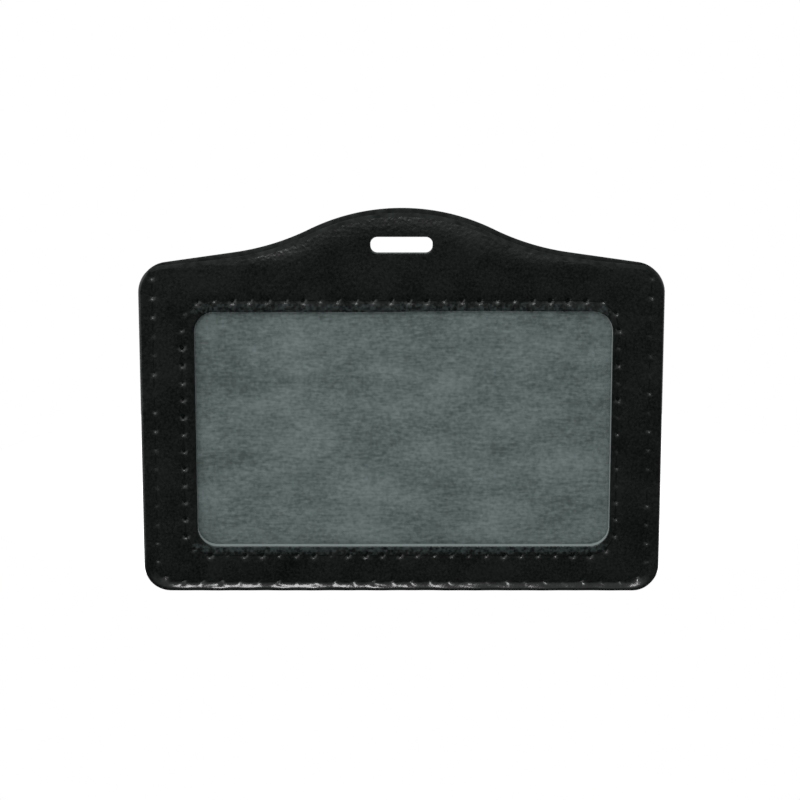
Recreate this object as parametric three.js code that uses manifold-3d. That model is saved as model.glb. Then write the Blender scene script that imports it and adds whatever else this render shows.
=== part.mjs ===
// Sewn badge holder: a leathercloth pocket with a clear film window, open along its humped top.
// Millimetres, +Z up. The front faces -Y and the origin is the middle of the lanyard slot.
// Pieces are drawn face on (x right, y up, z towards the front) in a group that is turned upright.
import * as THREE from 'three';
import { mergeVertices } from 'three/addons/utils/BufferGeometryUtils.js';
import Module from 'manifold-3d';

const wasm = await Module();
wasm.setup();

// Sheet stock
const LEATHER = 0.7; // leathercloth, its skin and knitted backing together
const FILM = 0.25; // clear PVC film
const LAYER_GAP = 0.05; // left between sheets that lie on each other

// Window, and the seam that holds the film behind it
const WINDOW_WIDTH = 83.6;
const WINDOW_HEIGHT = 48.2;
const WINDOW_RADIUS = 4;
const WINDOW_SHIFT = 0.4; // window right of the holder's middle
const WINDOW_SEAM_LEFT = 2.6; // window edge to seam on the left
const WINDOW_SEAM_RIGHT = 1.2; // and on the right, where the sewing runs closer
const WINDOW_SEAM_ABOVE = 2.2; // and above
const WINDOW_SEAM_BELOW = 1.9; // and below
const WINDOW_SEAM_RADIUS = 5;
const WINDOW_STITCH = 3.5;
const FILM_SIDE_MARGIN = 3.3; // film outside its seam at the sides
const FILM_RISE_MARGIN = 3; // and above and below
const FILM_RADIUS = 2;

// Pocket, its turned margins and the seam that closes three sides
const FILM_FIT = 0.5; // film edge to turned margin
const HEM_PAST_SEAM = 1.9; // turned margin inside the seam
const POCKET_RADIUS = 2;
const EDGE_SEAM_SIDE = 2.8; // outer edge to seam at the sides
const EDGE_SEAM_SILL = 2.1; // and along the bottom
const EDGE_SEAM_RADIUS = 4;
const EDGE_STITCH = 3.9;
const SEAM_END = 1; // front panel's top edge to the last needle hole
const BOTTOM_RADIUS = 5.5;

// Mouth: a straight flex line, and above it the front lip
const MOUTH_BAND = 2.8; // film's top edge to the flex line
const FLEX_GAP = 0.4;
const FLEX_DROP = 0.9; // flex line below the corner that shoulder and side would make

// Humped top edge with the lanyard slot
const SHOULDER_RADIUS = 6;
const SHOULDER_SLOPE = THREE.MathUtils.degToRad(8);
const HUMP_SLOPE = THREE.MathUtils.degToRad(26); // steepest, where the two arcs meet
const HUMP_TOP_RADIUS = 42;
const HUMP_FOOT_RADIUS = 50;
const SLOT_WIDTH = 12.4;
const SLOT_HEIGHT = 3.4;
const SLOT_RADIUS = 1.4;
const SLOT_DROP = 7.2; // top of the hump to the middle of the slot

// Sewing thread and needle holes
const THREAD_HEIGHT = 0.3;
const THREAD_WIDTH = 0.35;
const STITCH_TURN = 0.3; // middle of a needle hole to where the thread lies flat
const HOLE_FIT = 0.08;
const LOCK_GAP = 0.2; // between the loops of upper and lower thread, inside the layers
const THREAD_END = 0.08; // a closed seam's two ends stop this far from their shared hole's middle

const ARC_STEPS = 4;
const CUT_MARGIN = 1;
const SAME_POINT = 1e-6;
const SQUARE = [[1, 1], [1, -1], [-1, -1], [-1, 1]]; // corners of a section or a slit

// Places across the part, worked outwards from the window
const windowLeft = WINDOW_SHIFT - WINDOW_WIDTH / 2;
const windowRight = WINDOW_SHIFT + WINDOW_WIDTH / 2;
const seamLeft = windowLeft - WINDOW_SEAM_LEFT;
const seamRight = windowRight + WINDOW_SEAM_RIGHT;
const filmLeft = seamLeft - FILM_SIDE_MARGIN;
const filmRight = seamRight + FILM_SIDE_MARGIN;
const pocketHalf = Math.max(-filmLeft, filmRight) + FILM_FIT;
const bodyHalf = pocketHalf + HEM_PAST_SEAM + EDGE_SEAM_SIDE;

// Places up the part, worked down from the top of the hump
const humpTop = SLOT_DROP;
const humpReach = HUMP_TOP_RADIUS + HUMP_FOOT_RADIUS;
const footX = humpReach * Math.sin(HUMP_SLOPE);
const footY = humpTop - HUMP_TOP_RADIUS + humpReach * Math.cos(HUMP_SLOPE);
const shoulderStartX = footX - HUMP_FOOT_RADIUS * Math.sin(SHOULDER_SLOPE);
const shoulderStartY = footY - HUMP_FOOT_RADIUS * Math.cos(SHOULDER_SLOPE);
const cornerY = shoulderStartY - (bodyHalf - shoulderStartX) * Math.tan(SHOULDER_SLOPE);
const flexY = cornerY - FLEX_DROP;
const filmTop = flexY - MOUTH_BAND;
const windowTop = filmTop - FILM_RISE_MARGIN - WINDOW_SEAM_ABOVE;
const windowBottom = windowTop - WINDOW_HEIGHT;
const filmBottom = windowBottom - WINDOW_SEAM_BELOW - FILM_RISE_MARGIN;
const pocketBottom = filmBottom - FILM_FIT;
const bodyBottom = pocketBottom - HEM_PAST_SEAM - EDGE_SEAM_SILL;

// Places through the part: the back face of each layer, from the middle of the pocket
const frontHemBack = LAYER_GAP / 2;
const frontPanelBack = frontHemBack + LEATHER + LAYER_GAP;
const frontFace = frontPanelBack + LEATHER;
const filmBack = frontPanelBack - LAYER_GAP - FILM;
const backHemBack = -LAYER_GAP / 2 - LEATHER;
const backPanelBack = backHemBack - LAYER_GAP - LEATHER;

const leathercloth = () =>
  new THREE.MeshStandardMaterial({ name: 'leathercloth', color: 0x171a18, roughness: 0.5, metalness: 0 });
const clearFilm = () =>
  new THREE.MeshStandardMaterial({
    name: 'pvc_film',
    color: 0xe6ecea,
    roughness: 0.12,
    metalness: 0,
    transparent: true,
    opacity: 0.25,
  });
const thread = () =>
  new THREE.MeshStandardMaterial({ name: 'sewing_thread', color: 0x1b1d1c, roughness: 0.45, metalness: 0 });

// A closed run of four arcs, which straight lines join: a rectangle with round corners
function roundedRectangle(left, bottom, right, top, radius) {
  const path = new THREE.Path();
  path.absarc(right - radius, bottom + radius, radius, -Math.PI / 2, 0);
  path.absarc(right - radius, top - radius, radius, 0, Math.PI / 2);
  path.absarc(left + radius, top - radius, radius, Math.PI / 2, Math.PI);
  path.absarc(left + radius, bottom + radius, radius, Math.PI, Math.PI * 1.5);
  path.closePath();
  return path;
}

// The holder's outline, anticlockwise from the bottom right. Straight lines join the arcs.
function holderOutline() {
  const cornerX = bodyHalf - BOTTOM_RADIUS;
  const cornerRise = bodyBottom + BOTTOM_RADIUS;
  const shoulderX = bodyHalf - SHOULDER_RADIUS;
  const shoulderDrop = (SHOULDER_RADIUS * (1 - Math.sin(SHOULDER_SLOPE))) / Math.cos(SHOULDER_SLOPE);
  const shoulderY = cornerY - shoulderDrop;
  const above = Math.PI / 2;
  const below = Math.PI * 1.5;
  const path = new THREE.Path();
  path.absarc(cornerX, cornerRise, BOTTOM_RADIUS, -above, 0);
  path.absarc(shoulderX, shoulderY, SHOULDER_RADIUS, 0, above - SHOULDER_SLOPE);
  path.absarc(footX, footY, HUMP_FOOT_RADIUS, below - SHOULDER_SLOPE, below - HUMP_SLOPE, true);
  path.absarc(0, humpTop - HUMP_TOP_RADIUS, HUMP_TOP_RADIUS, above - HUMP_SLOPE, above + HUMP_SLOPE);
  path.absarc(-footX, footY, HUMP_FOOT_RADIUS, below + HUMP_SLOPE, below + SHOULDER_SLOPE, true);
  path.absarc(-shoulderX, shoulderY, SHOULDER_RADIUS, above + SHOULDER_SLOPE, Math.PI);
  path.absarc(-cornerX, cornerRise, BOTTOM_RADIUS, Math.PI, below);
  path.closePath();
  return path;
}

// The seam round the pocket, from the left end of the mouth down and round to the right end
function edgeSeamPath() {
  const half = bodyHalf - EDGE_SEAM_SIDE;
  const sill = bodyBottom + EDGE_SEAM_SILL;
  const end = flexY - FLEX_GAP / 2 - SEAM_END;
  const path = new THREE.Path();
  path.moveTo(-half, end);
  path.lineTo(-half, sill + EDGE_SEAM_RADIUS);
  path.absarc(-half + EDGE_SEAM_RADIUS, sill + EDGE_SEAM_RADIUS, EDGE_SEAM_RADIUS, Math.PI, Math.PI * 1.5);
  path.lineTo(half - EDGE_SEAM_RADIUS, sill);
  path.absarc(half - EDGE_SEAM_RADIUS, sill + EDGE_SEAM_RADIUS, EDGE_SEAM_RADIUS, -Math.PI / 2, 0);
  path.lineTo(half, end);
  return path;
}

// The closed seam round the window
function windowSeamPath() {
  const bottom = windowBottom - WINDOW_SEAM_BELOW;
  const top = windowTop + WINDOW_SEAM_ABOVE;
  return roundedRectangle(seamLeft, bottom, seamRight, top, WINDOW_SEAM_RADIUS);
}

// Even stitches along a path. Places are lengths along it, from its start.
function seamOn(path, wantedStitch, closed) {
  const length = path.getLength();
  const stitches = Math.round(length / wantedStitch);
  const place = (distance) => {
    const share = THREE.MathUtils.clamp(distance / length, 0, 1);
    const along = path.getTangent(share);
    return { point: path.getPoint(share), along, across: new THREE.Vector2(along.y, -along.x) };
  };
  return { stitches, stitch: length / stitches, closed, place };
}

const edgeSeam = seamOn(edgeSeamPath(), EDGE_STITCH, false);
const windowSeam = seamOn(windowSeamPath(), WINDOW_STITCH, true);

// The points of a closed path, each once
function corners(path) {
  const points = path.getPoints(ARC_STEPS);
  const next = (index) => points[(index + 1) % points.length];
  return points.filter((point, index) => point.distanceTo(next(index)) > SAME_POINT);
}

function sheet(outline, holes, thickness, back) {
  const shape = new THREE.Shape(corners(outline));
  shape.holes = holes.map((hole) => new THREE.Path(corners(hole)));
  return new THREE.ExtrudeGeometry(shape, { depth: thickness, bevelEnabled: false }).translate(0, 0, back);
}

// What the needle takes out: along a seam, a row of slits that pass through every layer
function needleHoles(seam) {
  const halfLength = STITCH_TURN + THREAD_HEIGHT / 2 + HOLE_FIT;
  const halfWidth = THREAD_WIDTH / 2 + HOLE_FIT;
  const count = seam.closed ? seam.stitches : seam.stitches + 1;
  const slits = Array.from({ length: count }, (_, index) => {
    const { point, along, across } = seam.place(index * seam.stitch);
    const corner = ([lengthwise, sideways]) => {
      const middle = point.clone().addScaledVector(along, lengthwise * halfLength);
      return middle.addScaledVector(across, sideways * halfWidth);
    };
    return new THREE.Shape(SQUARE.map(corner));
  });
  const reach = frontFace + CUT_MARGIN;
  const row = new THREE.ExtrudeGeometry(slits, { depth: 2 * reach, bevelEnabled: false });
  return row.translate(0, 0, -reach);
}

function toSolid(geometry) {
  const bare = geometry.clone();
  bare.deleteAttribute('normal');
  bare.deleteAttribute('uv');
  const merged = mergeVertices(bare);
  return new wasm.Manifold(new wasm.Mesh({
    numProp: 3,
    vertProperties: new Float32Array(merged.attributes.position.array),
    triVerts: new Uint32Array(merged.index.array),
  }));
}

function cut(geometry, ...tools) {
  const solid = tools.reduce((rest, tool) => rest.subtract(toSolid(tool)), toSolid(geometry));
  const { numProp, vertProperties, triVerts } = solid.getMesh();
  const result = new THREE.BufferGeometry();
  const vertices = new THREE.InterleavedBuffer(new Float32Array(vertProperties), numProp);
  result.setAttribute('position', new THREE.InterleavedBufferAttribute(vertices, 3, 0));
  result.setIndex(new THREE.BufferAttribute(new Uint32Array(triVerts), 1));
  return result.toNonIndexed();
}

// A block across the whole part, between two heights
function band(bottom, top) {
  const across = 2 * (bodyHalf + CUT_MARGIN);
  const through = 2 * (frontFace + CUT_MARGIN);
  return new THREE.BoxGeometry(across, top - bottom, through).translate(0, (bottom + top) / 2, 0);
}

const aboveFlex = () => band(flexY - FLEX_GAP / 2, humpTop + CUT_MARGIN);
const belowFlex = () => band(bodyBottom - CUT_MARGIN, flexY + FLEX_GAP / 2);

// The slot's corners are round as far as its height leaves room for
function lanyardSlot() {
  const halfWidth = SLOT_WIDTH / 2;
  const halfHeight = SLOT_HEIGHT / 2;
  const radius = Math.min(SLOT_RADIUS, halfHeight);
  return roundedRectangle(-halfWidth, -halfHeight, halfWidth, halfHeight, radius);
}

// One sheet of leathercloth, which the flex line parts into the front panel and the front lip
function frontSheet(otherSide) {
  const opening = roundedRectangle(windowLeft, windowBottom, windowRight, windowTop, WINDOW_RADIUS);
  const whole = sheet(holderOutline(), [opening, lanyardSlot()], LEATHER, frontPanelBack);
  return cut(whole, otherSide, needleHoles(windowSeam), needleHoles(edgeSeam));
}

function backSheet() {
  return cut(sheet(holderOutline(), [lanyardSlot()], LEATHER, backPanelBack), needleHoles(edgeSeam));
}

// A margin of a panel turned in over the seam on three sides, which leaves the pocket its room
function turnedMargin(back) {
  const whole = sheet(holderOutline(), [], LEATHER, back);
  const room = roundedRectangle(-pocketHalf, pocketBottom, pocketHalf, humpTop + CUT_MARGIN, POCKET_RADIUS);
  const pocket = sheet(room, [], LEATHER + 2 * CUT_MARGIN, back - CUT_MARGIN);
  return cut(whole, pocket, aboveFlex(), needleHoles(edgeSeam));
}

function windowFilm() {
  const outline = roundedRectangle(filmLeft, filmBottom, filmRight, filmTop, FILM_RADIUS);
  return cut(sheet(outline, [], FILM, filmBack), needleHoles(windowSeam));
}

// The thread's middle line on one face: flat stitches that dip into each needle hole.
// Heights are above that face, and the dips stop short of the middle of the sewn layers.
function threadLine(seam, layers) {
  const crest = LAYER_GAP + THREAD_HEIGHT / 2;
  const dip = -layers / 2 + LOCK_GAP / 2 + THREAD_HEIGHT / 2;
  const endRoom = seam.closed ? THREAD_END : 0;
  const line = [new THREE.Vector2(endRoom, dip)];
  for (let index = 0; index < seam.stitches; index += 1) {
    const start = index * seam.stitch;
    const end = start + seam.stitch;
    const last = index === seam.stitches - 1;
    line.push(new THREE.Vector2(start + STITCH_TURN, crest));
    line.push(new THREE.Vector2(end - STITCH_TURN, crest));
    line.push(new THREE.Vector2(last ? end - endRoom : end, dip));
  }
  return line;
}

// One unbroken length of thread with a four-sided section. The face that it lies on is at height
// face, and outward is 1 on a face that looks to the front and -1 on one that looks to the back.
function sewnThread(seam, layers, face, outward) {
  const line = threadLine(seam, layers);
  const positions = [];
  line.forEach((middle, index) => {
    const inner = index > 0 && index < line.length - 1;
    const before = inner ? middle.clone().sub(line[index - 1]).normalize() : new THREE.Vector2(1, 0);
    const after = inner ? line[index + 1].clone().sub(middle).normalize() : new THREE.Vector2(1, 0);
    const along = before.add(after).normalize();
    SQUARE.forEach(([up, side]) => {
      const reach = (up * THREAD_HEIGHT) / 2;
      const { point, across } = seam.place(middle.x - along.y * reach);
      point.addScaledVector(across, (side * outward * THREAD_WIDTH) / 2);
      positions.push(point.x, point.y, face + outward * (middle.y + along.x * reach));
    });
  });
  const sides = SQUARE.length;
  const faces = [0, 1, 2, 0, 2, 3];
  for (let ring = 0; ring < line.length - 1; ring += 1) {
    for (let side = 0; side < sides; side += 1) {
      const near = ring * sides + side;
      const beside = ring * sides + ((side + 1) % sides);
      faces.push(near, near + sides, beside, beside, near + sides, beside + sides);
    }
  }
  const end = (line.length - 1) * sides;
  faces.push(end, end + 2, end + 1, end, end + 3, end + 2);
  const geometry = new THREE.BufferGeometry();
  geometry.setAttribute('position', new THREE.Float32BufferAttribute(positions, 3));
  geometry.setIndex(faces);
  return geometry.toNonIndexed();
}

const windowLayers = frontFace - filmBack;
const edgeLayers = frontFace - backPanelBack;

const holder = new THREE.Group();
holder.name = 'badge_holder';
holder.rotation.x = Math.PI / 2;

function addPiece(name, geometry, material) {
  geometry.computeVertexNormals();
  const piece = new THREE.Mesh(geometry, material);
  piece.name = name;
  holder.add(piece);
}

addPiece('front_panel', frontSheet(aboveFlex()), leathercloth());
addPiece('front_lip', frontSheet(belowFlex()), leathercloth());
addPiece('back_panel', backSheet(), leathercloth());
addPiece('front_hem', turnedMargin(frontHemBack), leathercloth());
addPiece('back_hem', turnedMargin(backHemBack), leathercloth());
addPiece('window_film', windowFilm(), clearFilm());
addPiece('window_needle_thread', sewnThread(windowSeam, windowLayers, frontFace, 1), thread());
addPiece('window_bobbin_thread', sewnThread(windowSeam, windowLayers, filmBack, -1), thread());
addPiece('edge_needle_thread', sewnThread(edgeSeam, edgeLayers, frontFace, 1), thread());
addPiece('edge_bobbin_thread', sewnThread(edgeSeam, edgeLayers, backPanelBack, -1), thread());

export default holder;
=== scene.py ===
"""Dresses a sewn badge holder: leathercloth covers, a clear film, stitched seams and a white stage."""

import math
from functools import wraps
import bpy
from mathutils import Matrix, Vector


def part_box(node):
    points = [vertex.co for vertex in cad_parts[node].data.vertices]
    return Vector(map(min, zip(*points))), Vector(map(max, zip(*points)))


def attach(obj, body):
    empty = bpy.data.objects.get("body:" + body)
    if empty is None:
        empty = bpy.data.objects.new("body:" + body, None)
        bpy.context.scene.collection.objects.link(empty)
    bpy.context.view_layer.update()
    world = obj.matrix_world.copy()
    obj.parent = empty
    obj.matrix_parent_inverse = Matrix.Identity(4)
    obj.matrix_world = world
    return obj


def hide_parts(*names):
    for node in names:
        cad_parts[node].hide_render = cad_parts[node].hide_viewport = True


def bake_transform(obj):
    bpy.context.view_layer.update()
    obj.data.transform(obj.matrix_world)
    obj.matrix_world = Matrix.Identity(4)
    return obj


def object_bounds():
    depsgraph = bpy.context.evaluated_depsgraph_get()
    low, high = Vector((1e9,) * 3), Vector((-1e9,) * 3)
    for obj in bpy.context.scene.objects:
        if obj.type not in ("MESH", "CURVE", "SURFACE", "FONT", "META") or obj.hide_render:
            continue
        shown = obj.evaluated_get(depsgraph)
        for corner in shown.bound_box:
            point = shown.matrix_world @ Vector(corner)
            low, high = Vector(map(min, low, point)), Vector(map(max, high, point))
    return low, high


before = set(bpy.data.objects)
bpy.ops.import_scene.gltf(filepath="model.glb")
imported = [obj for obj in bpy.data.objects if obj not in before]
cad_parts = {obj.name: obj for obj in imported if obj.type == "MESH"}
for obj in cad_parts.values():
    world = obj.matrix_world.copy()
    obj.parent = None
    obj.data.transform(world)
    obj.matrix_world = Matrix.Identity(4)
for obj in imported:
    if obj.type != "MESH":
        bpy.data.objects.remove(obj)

from types import SimpleNamespace

import bpy
import numpy as np
from bpy.props import FloatProperty, FloatVectorProperty, IntProperty, PointerProperty
from bpy.types import Node, NodeSocket, Operator, Panel, PropertyGroup
from mathutils import Vector
from mathutils.geometry import delaunay_2d_cdt
from mathutils.kdtree import KDTree

bl_info = {
    "name": "Badge holder",
    "version": (1, 0, 0),
    "blender": (4, 5, 0),
    "location": "View3D > Sidebar > Badge holder",
    "description": "Builds a sewn leathercloth badge holder around its frame",
    "category": "Object",
}

MM = 0.001
CAD_BOX = [list(corner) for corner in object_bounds()]
FRONT = -1  # the way that a piece faces along Y
BACK = 1
SKIN, BACKING, PAINT, CUT = range(4)  # a sheet's materials

# Spacing of the points that the sheets are made of. A room is the least distance to points laid before
EDGE_STEP = 0.35 * MM
PATH_STEP = 0.1 * MM
ROW_STEP = 0.3 * MM
ROW_OFFSETS = np.array((-0.85, -0.5, -0.22, 0, 0.22, 0.5, 0.85)) * MM
ROW_ROOM = 0.18 * MM
HEM_STEP = 2 * EDGE_STEP
HEM_RINGS = np.array((-0.1, 0.1)) * MM
FOLD_RINGS = np.array((0.03, 0.1, 0.2, 0.34, 0.52, 0.75, 1, 1.2)) * MM
CUT_RINGS = np.array((0.05, 0.12, 0.25)) * MM
RING_ROOM = 0.015 * MM
FACE_GRID = 0.5 * MM
LINING_GRID = 1.6 * MM
FILM_GRID = 1.2 * MM
MARK_GRID = 0.14 * MM
MARK_RADIUS = 0.6 * MM
GRID_ROOM = 0.8  # share of a grid's pitch that its points keep from others
SAME_POINT = 1e-5  # millimetres
TINY = SAME_POINT * MM

# Forms of the soft sheets, as parts and multiples of their sizes
PUCKER_AND_SHEEN_SHIFT = 0.75  # of its width, by which the crumpled strip with its painted sheen lies nearer the window than its seam
PUCKER_AND_SHEEN_BELOW = 1.12  # how strongly the strip below the window is crumpled and lightened by painted sheen
PUCKER_AND_SHEEN_ABOVE = 0.95  # how strongly the strip above the window is crumpled and lightened by painted sheen
BEAD_RISE = (0.1, 0.9)  # where the turned edge swells, as shares of the way from its seam
BEAD_WAVES = 5  # how much shorter the swelling's waves are than the sheet's
BEAD_FOOT = 3  # the swelling starts over a thickness divided by this
FILM_WAVES = 0.6  # below 1, so that the film's waves are longer than the leathercloth's
MOUTH_RUN = 2  # thicknesses in which the turned margin ends below the flex line
CALM_EDGE = 4  # thicknesses over which the sheet's waves grow from an edge
RIGHT_SLANT = 3  # how many times less the window's cut slants on the right than below

# Waves of the soft sheets: millimetres for each radian, phases and strengths
RIPPLE_X = 5.3
RIPPLE_Z = 6.1
RIPPLE_PHASE = 0.4
RIPPLE_BEND = 0.9
BEND_Z = 11
SWELL_X = 13
SWELL_Z = 9
SWELL_PHASE = 1.7
SWELL_SHARE = 0.6

# One stitch has few faces, because the seams repeat it hundreds of times
STITCH_RINGS = 9
STITCH_SIDES = 6
STITCH_FLATNESS = 3  # the higher, the flatter a stitch lies between its ends
STITCH_DIP = 2  # threads that the ends of a stitch dip into the needle holes
STITCH_SWAY = math.radians(3)  # how far a stitch may lie aslant
PLY_DEPTH = 0.14  # of the thread's radius, by which a ply stands up
PLY_TURNS = 1.5  # along one stitch

# The stage: places and widths in metres, with the slot at the origin
KEY_PLACE = (-0.07, -0.6, 0.38)
KEY_WIDTH = 0.12
SIDE_PLACE = (-0.75, -0.4, 0.14)
SIDE_WIDTH = 0.9
AMBIENT = 0.78  # strength of the room's light on what isn't glossy
FLOOR_RADIUS = 0.112
FLOOR_BACK = 0.11  # middle of the floor behind the holder
FLOOR_FADE = 0.8  # share of the floor's radius at which it starts to fade into the backdrop
FLOOR_GLOW = 0.6  # how bright the floor is to the camera without its lamps
BACKDROP_TILT = (0, 0.4, 1)  # direction of the backdrop's brightest part
SENSOR_WIDTH = 36  # millimetres
CLIP_START = 0.01
WHITE = (1, 1, 1, 1)


def linear(hex_colour):
    """An sRGB hex colour as linear red, green and blue."""
    shares = [int(hex_colour[place : place + 2], 16) / 255 for place in (1, 3, 5)]
    return tuple(s / 12.92 if s <= 0.04045 else ((s + 0.055) / 1.055) ** 2.4 for s in shares)


def size(name, length, about):
    """A length in millimetres that the user can change."""
    return FloatProperty(name=name, description=about, default=length * MM, precision=5, unit="LENGTH")


def slope(name, degrees, about):
    """An angle that the user can change."""
    return FloatProperty(name=name, description=about, default=math.radians(degrees), subtype="ANGLE")


def portion(name, part, about):
    """A part of a whole that the user can change."""
    return FloatProperty(name=name, description=about, default=part, min=0, max=1, subtype="FACTOR")


def colour(name, shade, about):
    """A colour that the user can change."""
    return FloatVectorProperty(
        name=name, description=about, default=linear(shade), min=0, max=1, subtype="COLOR"
    )


class HolderSizes(PropertyGroup):
    """Sizes of the holder that its frame doesn't say."""

    leather: size("Leathercloth", 0.7, "Thickness of the leathercloth")
    layer_gap: size("Layer gap", 0.05, "Left between sheets that lie on each other")
    bottom_radius: size("Bottom corners", 5.5, "Radius of the two bottom corners")
    shoulder_radius: size("Shoulders", 6, "Radius of the two corners at the mouth")
    shoulder_slope: slope("Shoulder slope", 8, "How far the top edge falls towards the sides")
    hump_slope: slope("Hump slope", 26, "Steepest slope of the hump's sides")
    hump_top_radius: size("Hump top", 42, "Radius of the top of the hump")
    hump_foot_radius: size("Hump foot", 50, "Radius of the hollow at the foot of the hump")
    slot_width: size("Slot width", 12.4, "Width of the lanyard slot")
    slot_height: size("Slot height", 3.4, "Height of the lanyard slot")
    slot_radius: size("Slot corners", 1.4, "Corner radius of the lanyard slot")
    window_radius: size("Window corners", 4, "Corner radius of the window")
    seam_left: size("Seam, left", 2.6, "Window edge to window seam on the left")
    seam_right: size("Seam, right", 1.2, "Window edge to window seam on the right")
    seam_above: size("Seam, above", 2.2, "Window edge to window seam above")
    seam_below: size("Seam, below", 1.9, "Window edge to window seam below")
    window_seam_radius: size("Window seam corners", 5, "Corner radius of the window seam")
    window_stitch: size("Window stitch", 3.5, "Length of a stitch round the window")
    edge_seam_radius: size("Edge seam corners", 4, "Corner radius of the edge seam")
    edge_stitch: size("Edge stitch", 3.9, "Length of a stitch along the edge")
    hem_past_seam: size("Hem past seam", 1.9, "Turned margin inside the edge seam")
    pocket_radius: size("Pocket corners", 2, "Corner radius of the pocket between the margins")
    film_radius: size("Film corners", 2, "Corner radius of the window film")
    frame_thread: size("Frame thread", 0.35, "Width of the flat thread in the frame")
    thread: size("Thread", 0.34, "Diameter of the sewing thread")
    thread_sink: size("Thread sink", 0.22, "How deep a pulled stitch beds into its groove")
    groove: size("Seam groove", 0.05, "How deep a seam draws the leathercloth in")
    groove_width: size("Groove width", 0.7, "Seam to where its groove has mostly gone")
    dimple: size("Needle dip", 0.26, "How much deeper the leathercloth dips at a needle hole")
    dimple_width: size("Needle dip width", 0.6, "Needle hole to where its dip has mostly gone")
    slit: size("Needle slit", 0.2, "Depth of the slit that the needle leaves in its dip")
    slit_length: size("Needle slit length", 0.5, "Half the length of a needle slit")
    slit_width: size("Needle slit width", 0.22, "Half the width of a needle slit")
    slit_slant: slope("Needle slit slant", 40, "How far a needle slit is turned from its seam")
    hole_spread: portion("Needle hole spread", 0.7, "How much needle holes differ in depth")
    right_pull: portion("Right seam pull", 0.7, "Depth of the needle holes right of the window to others'")
    edge_pull: portion("Edge seam pull", 0.48, "Depth of the edge seam's needle holes to the window seam's")
    bead: size("Edge bead", 0.55, "How far the turned edge swells outside its seam")
    side_bead: portion("Side bead", 0.3, "Swelling of the turned edge at the sides to that at the bottom")
    bead_spread: portion("Edge bead spread", 0.2, "How much the swelling of the turned edge varies")
    edge_paint: size("Edge paint", 1.2, "Width of the painted band on the inside of a cut edge")
    flare: size("Window flare", 0.05, "How far the window's cut edge stands up from its seam")
    cut_slant: size("Window cut slant", 0.34, "How far the knife's slant bares the backing below")
    window_wave: size("Window wave", 0.3, "How far the window's top edge wanders from straight")
    cut_round: size("Cut edge", 0.2, "Radius that the knife leaves on a cut edge")
    lip_roll: size("Lip roll", 0.5, "How far the front lip's edge rolls back towards the back cover")
    lip_roll_width: size("Lip roll width", 5, "Width of the band in which the lip rolls back")
    rim_curl: size("Back rim curl", 0.3, "How far the back cover's rim curls back above the mouth")
    rim_curl_width: size("Back rim curl width", 2, "Width of the band in which the back rim curls")
    lip_trim: size("Lip trim", 0.8, "How much lower the front lip's edge is cut than the back cover's")
    # This width also sets how far the painted sheen on the crumpled strip reaches
    pucker_and_sheen_width: size("Pucker width", 2, "Window seam to where its crumpled strip has mostly gone")
    slack: size("Slack back", 1.02, "How far the back cover sags into the empty pocket")
    unevenness: size("Unevenness", 0.05, "How far the soft sheets wander from flat")


class HolderColours(PropertyGroup):
    """Colours of the holder and its stage."""

    skin: colour("Leathercloth", "#040605", "Black coating of the leathercloth")
    skin_worn: colour("Leathercloth, rubbed", "#171a19", "Coating where it is rubbed")
    # Painted sheen: a lighter coat on the crumpled strips above and below the window, standing in for light
    # catching their slopes
    skin_painted_sheen: colour("Leathercloth, scuffed", "#2c3534", "Coating on the creases along the window")
    knit: colour("Knit backing", "#758180", "Grey brushed knit on the inside of the leathercloth")
    knit_shade: colour("Knit backing, shaded", "#3c4746", "Gaps between the knit's fibres")
    cut: colour("Cut edge", "#788381", "Raw fibres in the window's cut edge")
    paint: colour("Edge paint", "#101212", "Black paint on the cut edges")
    paint_worn: colour("Edge paint, rubbed", "#242827", "Paint where it is rubbed")
    film: colour("Window film", "#5a6462", "Faint haze of the clear film")
    thread: colour("Thread", "#090b0a", "Black sewing thread")
    # Painted highlight: a lighter colour on the crests of the thread's plies
    thread_ply_highlight: colour("Thread, light ply", "#131615", "Ply of the thread that faces the light")
    floor: colour("Floor", "#f2f2f2", "Paper that the holder stands on")


class HolderStage(PropertyGroup):
    """The camera and the light."""

    elevation: slope("Camera elevation", 10.4, "Camera above the point it looks at")
    distance: size("Camera distance", 414, "Camera to the point it looks at")
    aim_x: size("Camera aim, across", -0.3, "Point that the camera looks at, from the slot to the right")
    aim_z: size("Camera aim, up", -31.4, "Point that the camera looks at, from the slot up")
    lens: FloatProperty(
        name="Lens", description="Focal length on the sensor", default=92.4, subtype="DISTANCE_CAMERA"
    )
    key_power: FloatProperty(
        name="Key light", description="Light above the holder", default=1.4, unit="POWER"
    )
    side_power: FloatProperty(
        name="Side light", description="Large soft light to the left", default=3, unit="POWER"
    )
    wave_seed: IntProperty(name="Seed", description="Seed for the uneven stitches", default=7)


# Paths and places, as seen from the front: x to the right and z up


def arc(centre, radius, start, end):
    """Points close together along an arc."""
    count = math.ceil(abs(end - start) * radius / PATH_STEP)
    angles = np.linspace(start, end, count + 1)
    return np.column_stack((centre[0] + radius * np.cos(angles), centre[1] + radius * np.sin(angles)))


def evenly(path, step, closed=True):
    """Points an even distance apart along a path, about one step from each other."""
    if closed:
        path = np.vstack((path, path[:1]))
    travelled = np.concatenate(([0], np.cumsum(np.hypot(*np.diff(path, axis=0).T))))
    stops = np.linspace(0, travelled[-1], round(travelled[-1] / step) + 1)
    if closed:
        stops = stops[:-1]
    return np.column_stack([np.interp(stops, travelled, path[:, axis]) for axis in (0, 1)])


def rounded_rectangle(rectangle, radius):
    """A rectangle with round corners, anticlockwise from the bottom right."""
    left, bottom, right, top = rectangle
    quarter = math.pi / 2
    centres = (
        (right - radius, bottom + radius),
        (right - radius, top - radius),
        (left + radius, top - radius),
        (left + radius, bottom + radius),
    )
    turns = [arc(centre, radius, (n - 1) * quarter, n * quarter) for n, centre in enumerate(centres)]
    return np.concatenate(turns)


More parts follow.
